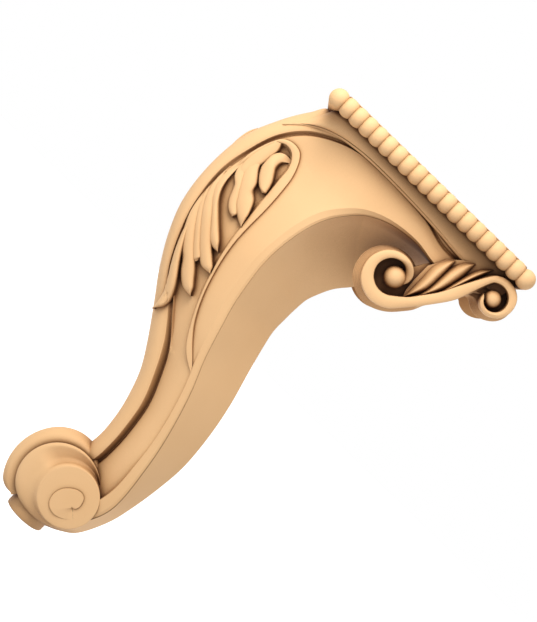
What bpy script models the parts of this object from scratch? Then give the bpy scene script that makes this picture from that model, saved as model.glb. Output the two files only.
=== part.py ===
"""Scroll corbel: a beaded cap plate on an S-curved body with a scroll foot and two scrolled wings.

Metres, +Z up. The origin is the middle of the cap's flat top, the face that meets what it carries.
-X is the front, where the knee is. +X is the back, where the wings are. The corbel is the same on
both sides of the plane Y = 0.
"""
import math

import bmesh
import bpy
from mathutils import Matrix, Vector
from mathutils.bvhtree import BVHTree

NAME = "scroll_corbel"

# Cap plate and its row of beads
BEAD_PITCH = 0.010
BEAD_RADIUS = 0.0080
CORNER_BEAD_RADIUS = 0.0080
BEADS_LONG = 20
BEADS_SHORT = 15
BEAD_CENTRE_Z = -0.0082
BEAD_SIDES = 8
ROW_X = BEAD_PITCH * (BEADS_LONG - 1) / 2
ROW_Y = BEAD_PITCH * (BEADS_SHORT - 1) / 2
SLAB_THICKNESS = 0.0120
# The plate's edge lies behind the middle of the beads
SLAB_LIP = -0.0040

# Flare under the cap, ring by ring: height, front, back, half width, squareness of the front
FLARE_RINGS = (
    (-0.0100, -0.0950, 0.0950, 0.0620, 12.0),
    (-0.0150, -0.0960, 0.0940, 0.0605, 8.0),
    (-0.0220, -0.1015, 0.0915, 0.0585, 3.6),
    (-0.0310, -0.1080, 0.0700, 0.0560, 2.5),
    (-0.0420, -0.1158, 0.0450, 0.0540, 2.1),
    (-0.0510, -0.1150, 0.0200, 0.0500, 2.0),
)
FLARE_STEPS = 16

# Body outlines, matched point for point from the back of the cap round the knee to the foot.
# The front runs down the middle of the front band, the back down the ridge behind: x, z.
FRONT = (
    (0.0920, -0.0100), (0.0480, -0.0100), (0.0250, -0.0100), (-0.0100, -0.0100), (-0.0550, -0.0100),
    (-0.0960, -0.0120), (-0.1085, -0.0257), (-0.1212, -0.0467), (-0.1324, -0.0737),
    (-0.1359, -0.1077), (-0.1324, -0.1407), (-0.1224, -0.1677), (-0.1079, -0.1932),
    (-0.0934, -0.2137), (-0.0769, -0.2377), (-0.0644, -0.2587), (-0.0569, -0.2797),
    (-0.0529, -0.2977), (-0.0514, -0.3167), (-0.0539, -0.3347), (-0.0599, -0.3527),
    (-0.0639, -0.3687), (-0.0610, -0.3790), (-0.0560, -0.3870),
)
BACK = (
    (0.0920, -0.0220), (0.0621, -0.0387), (0.0421, -0.0577), (0.0271, -0.0757), (0.0161, -0.0897),
    (0.0091, -0.0997), (0.0031, -0.1067), (-0.0013, -0.1130), (-0.0059, -0.1227),
    (-0.0091, -0.1317), (-0.0102, -0.1427), (-0.0105, -0.1527), (-0.0104, -0.1667),
    (-0.0074, -0.1817), (-0.0024, -0.2017), (0.0056, -0.2317), (0.0107, -0.2607),
    (0.0129, -0.2897), (0.0109, -0.3147), (0.0066, -0.3407), (0.0011, -0.3617),
    (-0.0099, -0.3837), (-0.0215, -0.3929), (-0.0335, -0.3985),
)
# The groove beside the front band, and the corner where side and back meet: x, z, half width
GROOVE = (
    (0.0904, -0.0225, 0.0560), (0.0624, -0.0300, 0.0560), (0.0369, -0.0317, 0.0565),
    (0.0100, -0.0250, 0.0565), (-0.0296, -0.0219, 0.0565), (-0.0640, -0.0247, 0.0545),
    (-0.0925, -0.0370, 0.0450), (-0.1104, -0.0559, 0.0340), (-0.1197, -0.0797, 0.0270),
    (-0.1248, -0.1064, 0.0220), (-0.1215, -0.1379, 0.0195), (-0.1124, -0.1650, 0.0180),
    (-0.0994, -0.1890, 0.0175), (-0.0834, -0.2050, 0.0180), (-0.0650, -0.2285, 0.0190),
    (-0.0515, -0.2550, 0.0185), (-0.0439, -0.2750, 0.0180), (-0.0404, -0.2960, 0.0173),
    (-0.0392, -0.3141, 0.0165), (-0.0404, -0.3321, 0.0155), (-0.0463, -0.3472, 0.0140),
    (-0.0523, -0.3582, 0.0130), (-0.0520, -0.3682, 0.0130), (-0.0500, -0.3760, 0.0130),
)
CORNER = (
    (0.0924, -0.0305, 0.0560), (0.0604, -0.0485, 0.0560), (0.0386, -0.0468, 0.0565),
    (0.0190, -0.0441, 0.0565), (-0.0029, -0.0469, 0.0565), (-0.0207, -0.0548, 0.0562),
    (-0.0330, -0.0670, 0.0555), (-0.0416, -0.0800, 0.0550), (-0.0474, -0.0964, 0.0540),
    (-0.0508, -0.1160, 0.0520), (-0.0515, -0.1340, 0.0500), (-0.0497, -0.1510, 0.0475),
    (-0.0462, -0.1715, 0.0445), (-0.0408, -0.1914, 0.0420), (-0.0335, -0.2160, 0.0380),
    (-0.0237, -0.2408, 0.0340), (-0.0158, -0.2666, 0.0310), (-0.0100, -0.2909, 0.0285),
    (-0.0067, -0.3117, 0.0270), (-0.0042, -0.3337, 0.0262), (-0.0047, -0.3497, 0.0258),
    (-0.0097, -0.3637, 0.0255), (-0.0190, -0.3790, 0.0255), (-0.0330, -0.3885, 0.0250),
)
BODY_STEPS = 2
GROOVE_DEPTH = 0.0028
PANEL_DEPTH = 0.0022
HOLLOW_DEPTH = 0.012

# Scroll foot: circles narrowing to the side disc, x, z, radius, half width
FOOT_RINGS = (
    (-0.0480, -0.3657, 0.0318, 0.0000), (-0.0480, -0.3657, 0.0318, 0.0150),
    (-0.0470, -0.3656, 0.0338, 0.0184), (-0.0430, -0.3652, 0.0303, 0.0217),
    (-0.0384, -0.3648, 0.0263, 0.0240), (-0.0353, -0.3645, 0.0245, 0.0268),
    (-0.0344, -0.3644, 0.0225, 0.0282),
)
FOOT_SIDES = 20
# The band goes on over the foot: angle in degrees, radius from the band's own middle
FOOT_BAND = ((60, 0.0350), (80, 0.0400), (106, 0.0442), (130, 0.0456), (156, 0.0452), (182, 0.0446),
             (209, 0.0437), (240, 0.0394))
FOOT_BAND_MIDDLE = (-0.0468, -0.3685)
FOOT_BAND_HALF_WIDTH = 0.0138
FOOT_BAND_INNER_RADIUS = 0.0336
PAD_X, PAD_RADIUS = -0.0484, 0.0172
PAD_TOP_Z, PAD_BOTTOM_Z = -0.3860, -0.4042
PAD_SIDES = 18

# Wings: two volutes joined by a strap. Edges are radii from a volute's middle by angle in degrees.
WING_FACE_Y, BED_Y, WALL_FACE_Y, WING_INNER_Y = 0.0700, 0.0602, 0.0545, 0.0420
BIG_EYE, BIG_BALL_RADIUS = (0.0254, -0.0731), 0.0085
BIG_OUTER = ((313, 0.0232), (270, 0.0250), (222, 0.0256), (185, 0.0238), (147, 0.0209),
             (110, 0.0177), (72, 0.0154), (46, 0.0139), (26, 0.0117), (6, 0.0094), (-14, 0.0074))
BIG_INNER = ((62, 0.0072), (74, 0.0088), (84, 0.0103), (102, 0.0119), (128, 0.0134),
             (152, 0.0146), (185, 0.0158), (222, 0.0158), (270, 0.0148), (305, 0.0138))
SMALL_EYE, SMALL_BALL_RADIUS = (0.0888, -0.0351), 0.0059
SMALL_OUTER = ((140, 0.0178), (90, 0.0184), (44, 0.0180), (0, 0.0160), (-46, 0.0139),
               (-90, 0.0118), (-136, 0.0099), (-170, 0.0080))
SMALL_INNER = ((-115, 0.0078), (-91, 0.0083), (-46, 0.0095), (0, 0.0105), (44, 0.0112),
               (90, 0.0120), (139, 0.0125))
RUN_UPPER = ((0.0402, -0.0803), (0.0480, -0.0700), (0.0566, -0.0582), (0.0650, -0.0420))
RUN_LOWER = ((0.0756, -0.0357), (0.0729, -0.0434), (0.0686, -0.0548), (0.0596, -0.0676),
             (0.0510, -0.0785))
# How far the wall under the strap stands out round it
WALL_FLARE = 0.0040
# The bed that the ribs lie on
BED_EDGE = ((0.0402, -0.0803), (0.0480, -0.0700), (0.0566, -0.0582), (0.0650, -0.0420),
            (0.0720, -0.0300), (0.0740, -0.0180), (0.0640, -0.0215), (0.0530, -0.0290),
            (0.0440, -0.0370), (0.0372, -0.0500), (0.0372, -0.0640), (0.0380, -0.0740))
WALL_TOP = ((0.0330, -0.0520), (0.0440, -0.0370), (0.0530, -0.0290), (0.0640, -0.0215),
            (0.0740, -0.0180))
EYE_STEM_RADIUS = 0.0048
# Leaf ribs of a wing: from root to tip, x, z, half width
WING_RIBS = (
    ((0.0400, -0.0790, 0.0010), (0.0370, -0.0655, 0.0038), (0.0395, -0.0500, 0.0046),
     (0.0505, -0.0325, 0.0014)),
    ((0.0415, -0.0785, 0.0010), (0.0430, -0.0640, 0.0036), (0.0475, -0.0480, 0.0044),
     (0.0620, -0.0250, 0.0014)),
    ((0.0435, -0.0765, 0.0010), (0.0495, -0.0610, 0.0034), (0.0570, -0.0450, 0.0040),
     (0.0725, -0.0205, 0.0014)),
)

# Loop that frames the knee's leaf, and the leaf's lobes: x, z, half width
LOOP = (
    (-0.1165, -0.0753, 0.0012), (-0.1075, -0.0623, 0.0022), (-0.0975, -0.0588, 0.0026),
    (-0.0895, -0.0613, 0.0028), (-0.0858, -0.0693, 0.0028), (-0.0835, -0.0823, 0.0028),
    (-0.0820, -0.1073, 0.0028), (-0.0812, -0.1313, 0.0026), (-0.0785, -0.1533, 0.0024),
    (-0.0718, -0.1773, 0.0022), (-0.0630, -0.1963, 0.0020), (-0.0530, -0.2113, 0.0018),
    (-0.0390, -0.2273, 0.0010),
)
LEAF_LOBES = (
    ((-0.0933, -0.0660, 0.0012), (-0.1038, -0.0695, 0.0038), (-0.0998, -0.0875, 0.0040),
     (-0.0893, -0.0995, 0.0012)),
    ((-0.1153, -0.0770, 0.0015), (-0.1093, -0.0915, 0.0050), (-0.0973, -0.1075, 0.0055),
     (-0.0868, -0.1245, 0.0013)),
    ((-0.1048, -0.1125, 0.0015), (-0.0983, -0.1235, 0.0032), (-0.0948, -0.1335, 0.0012)),
    ((-0.1168, -0.1095, 0.0015), (-0.1063, -0.1265, 0.0048), (-0.0973, -0.1435, 0.0044),
     (-0.0878, -0.1535, 0.0012)),
    ((-0.1163, -0.1235, 0.0015), (-0.1068, -0.1415, 0.0046), (-0.0973, -0.1575, 0.0042),
     (-0.0858, -0.1695, 0.0012)),
    ((-0.1153, -0.1355, 0.0015), (-0.1083, -0.1565, 0.0050), (-0.0988, -0.1775, 0.0046),
     (-0.0843, -0.1895, 0.0012)),
    ((-0.1128, -0.1575, 0.0015), (-0.1048, -0.1805, 0.0046), (-0.0938, -0.1975, 0.0044),
     (-0.0868, -0.2115, 0.0028)),
)
LOBE_HEIGHT = 0.0042
LOOP_HEIGHT = 0.0022
ROOT_DEPTH = 0.0035
LOBE_SECTION = ((-1.0, 0.0), (-0.52, 0.92), (0.52, 0.92), (1.0, 0.0))

MATERIAL_COLOUR = (0.83, 0.56, 0.34, 1.0)
MATERIAL_ROUGHNESS = 0.55


def smooth_path(points, steps):
    """Catmull-Rom curve through points of any size, with steps spans between neighbours."""
    points = [Vector(p) for p in points]
    padded = [points[0] * 2 - points[1]] + points + [points[-1] * 2 - points[-2]]
    path = []
    for a, b, c, d in zip(padded, padded[1:], padded[2:], padded[3:]):
        for step in range(steps):
            t = step / steps
            path.append(0.5 * (2 * b + (c - a) * t + (2 * a - 5 * b + 4 * c - d) * t ** 2
                               + (3 * b - a - 3 * c + d) * t ** 3))
    return path + [points[-1]]


def radius_at(table, angle):
    """Radius at an angle, read from a table of (angle, radius) that may run either way."""
    rows = sorted(table)
    if angle <= rows[0][0]:
        return rows[0][1]
    for (a0, r0), (a1, r1) in zip(rows, rows[1:]):
        if angle <= a1:
            return r0 + (r1 - r0) * (angle - a0) / (a1 - a0)
    return rows[-1][1]


def volute_edge(eye, table, step=26, grow=0.0):
    """Points (x, z) of a volute's edge, from the table's first angle to its last."""
    first, last = table[0][0], table[-1][0]
    count = max(1, round(abs(last - first) / step))
    edge = []
    for i in range(count + 1):
        angle = first + (last - first) * i / count
        radius = radius_at(table, angle) + grow
        turn = math.radians(angle)
        edge.append((eye[0] + radius * math.cos(turn), eye[1] + radius * math.sin(turn)))
    return edge


def add_object(name, mesh, collection):
    """Link a mesh as an object, with its faces turned outward."""
    bm = bmesh.new()
    bm.from_mesh(mesh)
    bmesh.ops.remove_doubles(bm, verts=bm.verts, dist=1e-6)
    bmesh.ops.recalc_face_normals(bm, faces=bm.faces)
    bm.to_mesh(mesh)
    bm.free()
    obj = bpy.data.objects.new(name, mesh)
    collection.objects.link(obj)
    return obj


def loft(name, rings, collection):
    """A closed solid through rings that all have the same number of points."""
    bm = bmesh.new()
    loops = [[bm.verts.new(point) for point in ring] for ring in rings]
    count = len(loops[0])
    for low, high in zip(loops, loops[1:]):
        for i in range(count):
            j = (i + 1) % count
            bm.faces.new((low[i], low[j], high[j], high[i]))
    bm.faces.new(loops[0])
    bm.faces.new(loops[-1])
    mesh = bpy.data.meshes.new(name)
    bm.to_mesh(mesh)
    bm.free()
    return add_object(name, mesh, collection)


def plate_from_outline(name, outline, low_y, high_y, collection):
    """A flat outline in the X-Z plane, filled and given thickness between two values of Y."""
    curve = bpy.data.curves.new(name, "CURVE")
    curve.dimensions = "2D"
    curve.fill_mode = "BOTH"
    curve.extrude = (high_y - low_y) / 2
    spline = curve.splines.new("POLY")
    spline.points.add(len(outline) - 1)
    for point, (x, z) in zip(spline.points, outline):
        point.co = (x, z, 0.0, 1.0)
    spline.use_cyclic_u = True
    drawn = bpy.data.objects.new(name, curve)
    drawn.location.y = (low_y + high_y) / 2
    drawn.rotation_euler.x = math.radians(90)
    collection.objects.link(drawn)
    bpy.context.view_layer.update()
    mesh = bpy.data.meshes.new_from_object(
        drawn.evaluated_get(bpy.context.evaluated_depsgraph_get()))
    mesh.transform(drawn.matrix_world)
    bpy.data.objects.remove(drawn)
    return add_object(name, mesh, collection)


def ball(name, centre, radius, sides, rings, collection):
    """A round bead or eye."""
    mesh = bpy.data.meshes.new(name)
    bm = bmesh.new()
    bmesh.ops.create_uvsphere(bm, u_segments=sides, v_segments=rings, radius=radius)
    bm.to_mesh(mesh)
    bm.free()
    mesh.transform(Matrix.Translation(Vector(centre)))
    return add_object(name, mesh, collection)


def cap_slab(collection):
    """The flat plate that the beads stand round."""
    bpy.ops.mesh.primitive_cube_add(size=1.0, location=(0, 0, -SLAB_THICKNESS / 2))
    slab = bpy.context.object
    slab.name = NAME
    slab.scale = (2 * (ROW_X + SLAB_LIP), 2 * (ROW_Y + SLAB_LIP), SLAB_THICKNESS)
    bpy.ops.object.transform_apply(scale=True, location=True)
    for holder in list(slab.users_collection):
        holder.objects.unlink(slab)
    collection.objects.link(slab)
    return slab


def bead_row(name, count, collection):
    """One turned string of beads along X, with straight seams, centred on the origin."""
    half = BEAD_PITCH / 2
    profile = [(-count * half, 0.0)]
    for bead in range(count):
        middle = (bead - (count - 1) / 2) * BEAD_PITCH
        for offset in (-half, -half / 3, half / 3):
            profile.append((middle + offset, math.sqrt(BEAD_RADIUS ** 2 - offset ** 2)))
    profile.append((count * half, math.sqrt(BEAD_RADIUS ** 2 - half ** 2)))
    profile.append((count * half, 0.0))
    mesh = bpy.data.meshes.new(name)
    mesh.from_pydata([(x, 0.0, r) for x, r in profile], [(i, i + 1) for i in range(len(profile) - 1)], [])
    turned = bpy.data.objects.new(name, mesh)
    collection.objects.link(turned)
    screw = turned.modifiers.new("turn", "SCREW")
    screw.axis = "X"
    screw.steps = screw.render_steps = BEAD_SIDES
    screw.use_merge_vertices = True
    screw.merge_threshold = 0.00005
    bpy.context.view_layer.update()
    solid = bpy.data.meshes.new_from_object(
        turned.evaluated_get(bpy.context.evaluated_depsgraph_get()))
    bpy.data.objects.remove(turned)
    return add_object(name, solid, collection)


def bead_border(collection):
    """Rows on all four sides and a larger bead at each corner."""
    for side in (-1, 1):
        long_row = bead_row(f"beads_long_{side}", BEADS_LONG - 2, collection)
        long_row.location = (0, side * ROW_Y, BEAD_CENTRE_Z)
        short_row = bead_row(f"beads_short_{side}", BEADS_SHORT - 2, collection)
        short_row.rotation_euler.z = math.radians(90)
        short_row.location = (side * ROW_X, 0, BEAD_CENTRE_Z)
        for end in (-1, 1):
            ball(f"corner_bead_{side}_{end}", (end * ROW_X, side * ROW_Y, -CORNER_BEAD_RADIUS - 0.0002),
                 CORNER_BEAD_RADIUS, 8, 5, collection)


def flare(collection):
    """The hollowed flare from the cap's underside into the knee and the sides."""
    rings = []
    for z, front, back, half_width, squareness in FLARE_RINGS:
        depth = half_width if squareness < 6 else 0.5 * half_width
        ring = []
        for i in range(FLARE_STEPS + 1):
            angle = math.pi * (i / FLARE_STEPS - 0.5)
            reach = abs(math.cos(angle)) ** (2 / squareness)
            spread = math.copysign(abs(math.sin(angle)) ** (2 / squareness), angle)
            ring.append((front + depth - depth * reach, half_width * spread, z))
        ring.append((back, half_width, z))
        ring.append((back, -half_width, z))
        rings.append(ring)
    return loft("flare", rings, collection)


def body_section(front, groove, corner, back, hollow):
    """Half a section of the body, from the front band to the ridge behind, as (x, y, z)."""
    f = Vector((front[0], 0.0, front[1]))
    g = Vector((groove[0], groove[2], groove[1]))
    a = Vector((corner[0], corner[2], corner[1]))
    b = Vector((back[0], 0.0, back[1]))
    inward = (b - f).normalized()
    side = a - g
    face_in = Vector((inward.x * 0.75, -0.66, inward.z * 0.75))
    inner_line = g + 0.86 * side
    behind = a.lerp(b, 0.5) + (f - b).normalized() * hollow
    return [
        f,
        Vector((f.x + 0.14 * (g.x - f.x), 0.45 * g.y, f.z + 0.14 * (g.z - f.z))),
        Vector((f.x + 0.52 * (g.x - f.x), 0.84 * g.y, f.z + 0.52 * (g.z - f.z))),
        g + GROOVE_DEPTH * face_in * 0.4 - 0.0006 * inward,
        g + GROOVE_DEPTH * face_in + 0.0010 * inward,
        g + 0.075 * side,
        g + 0.46 * side + PANEL_DEPTH * 0.3 * face_in,
        inner_line,
        a,
        behind,
        b,
    ]


def hollow_at(k):
    """How far the back face is hollowed: deep round the wing's volute, nothing on the leg."""
    return HOLLOW_DEPTH * max(0.0, 1.0 - abs(k - 5.0) / 5.0)


def body(collection):
    """The S-curved body, lofted through its matched outlines."""
    outlines = [smooth_path(line, BODY_STEPS) for line in (FRONT, GROOVE, CORNER, BACK)]
    rings = []
    for step, (front, groove, corner, back) in enumerate(zip(*outlines)):
        half = body_section(front, groove, corner, back, hollow_at(step / BODY_STEPS))
        mirrored = [Vector((p.x, -p.y, p.z)) for p in half[1:-1]]
        rings.append(half + mirrored[::-1])
    return loft("body", rings, collection)


def foot(collection):
    """The scroll foot: belled drum, the band over it and the pad."""
    rings = []
    for x, z, radius, half_width in FOOT_RINGS[::-1]:
        rings.append(foot_circle(x, z, radius, -half_width))
    for x, z, radius, half_width in FOOT_RINGS[1:]:
        rings.append(foot_circle(x, z, radius, half_width))
    loft("foot_drum", rings, collection)

    middle = Vector((FOOT_BAND_MIDDLE[0], 0.0, FOOT_BAND_MIDDLE[1]))
    sections = []
    for angle, radius in smooth_path(FOOT_BAND, 2):
        turn = math.radians(angle)
        out = Vector((math.cos(turn), 0.0, math.sin(turn)))
        sections.append([middle + out * reach + Vector((0.0, wide * FOOT_BAND_HALF_WIDTH, 0.0))
                         for wide, reach in ((-0.94, 0.0290), (-1.0, FOOT_BAND_INNER_RADIUS),
                                             (-0.60, radius - 0.0018), (0.0, radius),
                                             (0.60, radius - 0.0018), (1.0, FOOT_BAND_INNER_RADIUS),
                                             (0.94, 0.0290))])
    loft("foot_band", sections, collection)

    bpy.ops.mesh.primitive_cylinder_add(
        vertices=PAD_SIDES, radius=PAD_RADIUS, depth=PAD_TOP_Z - PAD_BOTTOM_Z,
        location=(PAD_X, 0.0, (PAD_TOP_Z + PAD_BOTTOM_Z) / 2))
    adopt(bpy.context.object, "foot_pad", collection)


def foot_circle(x, z, radius, y):
    """A circle round the foot's cross axis."""
    return [(x + radius * math.cos(2 * math.pi * i / FOOT_SIDES), y,
             z + radius * math.sin(2 * math.pi * i / FOOT_SIDES)) for i in range(FOOT_SIDES)]


def adopt(obj, name, collection):
    """Rename a primitive, apply its place and move it to a collection."""
    obj.name = name
    bpy.ops.object.transform_apply(location=True, rotation=True, scale=True)
    for holder in list(obj.users_collection):
        holder.objects.unlink(obj)
    collection.objects.link(obj)
    return obj


def wing(side, collection):
    """One scrolled wing: wall behind, strap in front, ball eyes and leaf ribs."""
    strap = (volute_edge(BIG_EYE, BIG_OUTER) + volute_edge(BIG_EYE, BIG_INNER)
             + list(RUN_UPPER) + volute_edge(SMALL_EYE, SMALL_OUTER)
             + volute_edge(SMALL_EYE, SMALL_INNER) + list(RUN_LOWER))
    wall = (volute_edge(BIG_EYE, BIG_OUTER[:7], grow=WALL_FLARE) + list(WALL_TOP)
            + volute_edge(SMALL_EYE, SMALL_OUTER, grow=WALL_FLARE)[:-1] + list(RUN_LOWER[2:]))
    wall_y = sorted((side * WING_INNER_Y, side * WALL_FACE_Y))
    plate_from_outline(f"wing_wall_{side}", wall, *wall_y, collection)
    bed_y = sorted((side * (WALL_FACE_Y - 0.0020), side * BED_Y))
    plate_from_outline(f"wing_bed_{side}", list(BED_EDGE), *bed_y, collection)
    strap_y = sorted((side * (WALL_FACE_Y - 0.0010), side * WING_FACE_Y))
    plate_from_outline(f"wing_strap_{side}", strap, *strap_y, collection)
    for label, eye, radius in (("big", BIG_EYE, BIG_BALL_RADIUS), ("small", SMALL_EYE, SMALL_BALL_RADIUS)):
        ball(f"{label}_eye_{side}", (eye[0], side * (WING_FACE_Y - radius + 0.0004), eye[1]),
             radius, 9, 6, collection)
        stem = volute_edge(eye, ((0, EYE_STEM_RADIUS), (315, EYE_STEM_RADIUS)), step=45)
        stem_y = sorted((side * (WALL_FACE_Y - 0.0015), side * (WING_FACE_Y - radius)))
        plate_from_outline(f"{label}_stem_{side}", stem, *stem_y, collection)
    for number, rib in enumerate(WING_RIBS):
        path = [Vector((x, side * BED_Y, z)) for x, z, _ in rib]
        ridge(f"wing_rib_{number}_{side}", path, [half for _, _, half in rib],
              [Vector((0, side, 0))] * len(rib), 0.0085, ROOT_DEPTH, 1, collection)


def ridge(name, path, half_widths, normals, height, depth, steps, collection):
    """A carved ridge along a path: rounded above its surface and rooted below it."""
    rows = [(*point, half, *normal) for point, half, normal in zip(path, half_widths, normals)]
    rows = smooth_path(rows, steps)
    widest = max(half_widths)
    rings = []
    for i, row in enumerate(rows):
        point, half, normal = Vector(row[0:3]), row[3], Vector(row[4:7]).normalized()
        after, before = rows[min(i + 1, len(rows) - 1)], rows[max(i - 1, 0)]
        across = (Vector(after[0:3]) - Vector(before[0:3])).cross(normal).normalized()
        rise = height * (0.35 + 0.65 * half / widest)
        ring = [point + across * half * wide + normal * rise * high for wide, high in LOBE_SECTION]
        ring.append(point + across * half - normal * depth)
        ring.append(point - across * half - normal * depth)
        rings.append(ring)
    return loft(name, rings, collection)


def on_side(tree, x, z):
    """The body's near side seen along Y: the point under (x, z) and the way out of it."""
    hit, normal, _, _ = tree.ray_cast(Vector((x, -0.2, z)), Vector((0, 1, 0)))
    return hit, normal


def leaf_and_loop(body_object, collection):
    """The acanthus leaf on each side of the knee, in its looped frame."""
    bm = bmesh.new()
    bm.from_mesh(body_object.data)
    tree = BVHTree.FromBMesh(bm)
    bm.free()
    shapes = [("loop", LOOP, LOOP_HEIGHT, 1)]
    shapes += [(f"lobe_{number}", lobe, LOBE_HEIGHT, 2) for number, lobe in enumerate(LEAF_LOBES)]
    for name, points, height, steps in shapes:
        hits = [on_side(tree, x, z) for x, z, _ in points]
        halves = [half for _, _, half in points]
        for side in (-1, 1):
            path = [Vector((hit.x, -side * hit.y, hit.z)) for hit, _ in hits]
            normals = [Vector((way.x, -side * way.y, way.z)) for _, way in hits]
            ridge(f"{name}_{side}", path, halves, normals, height, ROOT_DEPTH, steps, collection)


def painted_material():
    """Pale tan, matt."""
    material = bpy.data.materials.new("carved_tan")
    material.use_nodes = True
    shader = material.node_tree.nodes["Principled BSDF"]
    shader.inputs["Base Color"].default_value = MATERIAL_COLOUR
    shader.inputs["Roughness"].default_value = MATERIAL_ROUGHNESS
    shader.inputs["Metallic"].default_value = 0.0
    return material


def main():
    for obj in list(bpy.data.objects):
        bpy.data.objects.remove(obj)
    kept = bpy.data.collections.new(NAME)
    shapes = bpy.data.collections.new(NAME + "_shapes")
    for collection in (kept, shapes):
        bpy.context.scene.collection.children.link(collection)

    corbel = cap_slab(kept)
    bead_border(shapes)
    flare(shapes)
    body_object = body(shapes)
    foot(shapes)
    for side in (-1, 1):
        wing(side, shapes)
    leaf_and_loop(body_object, shapes)

    join = corbel.modifiers.new("join", "BOOLEAN")
    join.operation = "UNION"
    join.operand_type = "COLLECTION"
    join.collection = shapes
    join.solver = "EXACT"
    corbel.data.materials.append(painted_material())
    for obj in shapes.objects:
        obj.hide_render = True
        obj.display_type = "WIRE"


main()
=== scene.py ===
"""Looks of the scroll corbel: one carved piece of pale tan material, seen from its near side.

Metres, +Z up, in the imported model's frame. -X is the front, where the knee is, and +X is the back.
The carving is the same on both sides of Y = 0, and the near side has negative Y. Fine relief is placed
by pixels of the photograph: a ray from the camera lays it on the body's side or stops at a given Y.
"""
import math

import bmesh
import bpy
from mathutils import Matrix, Vector
from mathutils.bvhtree import BVHTree


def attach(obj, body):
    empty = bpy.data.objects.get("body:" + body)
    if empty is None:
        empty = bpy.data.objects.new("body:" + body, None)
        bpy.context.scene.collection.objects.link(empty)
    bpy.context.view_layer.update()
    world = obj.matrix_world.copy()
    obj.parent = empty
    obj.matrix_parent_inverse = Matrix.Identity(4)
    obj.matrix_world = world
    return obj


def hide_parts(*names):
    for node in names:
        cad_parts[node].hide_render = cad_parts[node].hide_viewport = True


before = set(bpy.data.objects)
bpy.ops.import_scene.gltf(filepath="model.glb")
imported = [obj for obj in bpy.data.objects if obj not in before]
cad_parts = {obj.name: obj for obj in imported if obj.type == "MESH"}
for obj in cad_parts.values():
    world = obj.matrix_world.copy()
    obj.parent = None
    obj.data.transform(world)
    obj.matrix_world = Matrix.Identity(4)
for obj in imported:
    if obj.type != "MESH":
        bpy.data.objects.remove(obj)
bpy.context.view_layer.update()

# The photograph: focal length and the pixel that the camera's axis meets
PHOTO_WIDTH, PHOTO_HEIGHT = 537, 622
FOCAL_PX = 1650.0
AXIS_PX = (308.0, 280.0)
ROLL = math.radians(44.16)
CAMERA_PLACE = Vector((-0.0190, -1.2797, -0.1193))
CAMERA_RIGHT = Vector((math.cos(ROLL), 0.0, math.sin(ROLL)))
CAMERA_UP = Vector((-math.sin(ROLL), 0.0, math.cos(ROLL)))
SENSOR = 0.036

# Cap plate and the beads round it
BEAD_PITCH = 0.010
BEAD_RADIUS = 0.0078
BEADS_LONG = 20
BEADS_SHORT = 15
BEAD_CENTRE_Z = -0.0080
BEAD_SIDES, BEAD_ROWS = 24, 16
ROW_X = BEAD_PITCH * (BEADS_LONG - 1) / 2
ROW_Y = BEAD_PITCH * (BEADS_SHORT - 1) / 2
SLAB_THICKNESS = 0.0100
# The plate's edge, from the beads' middles outward
SLAB_LIP = -0.0040
SLAB_CORNER = 0.003
SLAB_CORNER_STEPS = 4
# The plate's edge from top to bottom: inset, height
SLAB_EDGE = ((0.0012, 0.0), (0.0003, -0.0003), (0.0, -0.0012), (0.0, -SLAB_THICKNESS + 0.0006),
             (0.0006, -SLAB_THICKNESS))

# Body outlines, matched point for point from the back of the cap round the knee to the foot.
# The front runs down the middle of the front band, the back down the ridge behind: x, z.
FRONT = (
    (0.0920, -0.0100), (0.0480, -0.0100), (0.0250, -0.0100), (-0.0100, -0.0100), (-0.0550, -0.0100),
    (-0.0960, -0.0120), (-0.1085, -0.0257), (-0.1212, -0.0467), (-0.1324, -0.0737),
    (-0.1359, -0.1077), (-0.1324, -0.1407), (-0.1224, -0.1677), (-0.1079, -0.1932),
    (-0.0934, -0.2137), (-0.0769, -0.2377), (-0.0644, -0.2587), (-0.0569, -0.2797),
    (-0.0529, -0.2977), (-0.0514, -0.3167), (-0.0539, -0.3347), (-0.0599, -0.3527),
    (-0.0639, -0.3687), (-0.0610, -0.3790), (-0.0560, -0.3870),
)
BACK = (
    (0.0920, -0.0220), (0.0621, -0.0387), (0.0421, -0.0577), (0.0271, -0.0757), (0.0161, -0.0897),
    (0.0091, -0.0997), (0.0031, -0.1067), (-0.0013, -0.1130), (-0.0059, -0.1227),
    (-0.0091, -0.1317), (-0.0102, -0.1427), (-0.0105, -0.1527), (-0.0104, -0.1667),
    (-0.0074, -0.1817), (-0.0024, -0.2017), (0.0056, -0.2317), (0.0107, -0.2607),
    (0.0129, -0.2897), (0.0109, -0.3147), (0.0066, -0.3407), (0.0011, -0.3617),
    (-0.0099, -0.3837), (-0.0215, -0.3929), (-0.0335, -0.3985),
)
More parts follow.
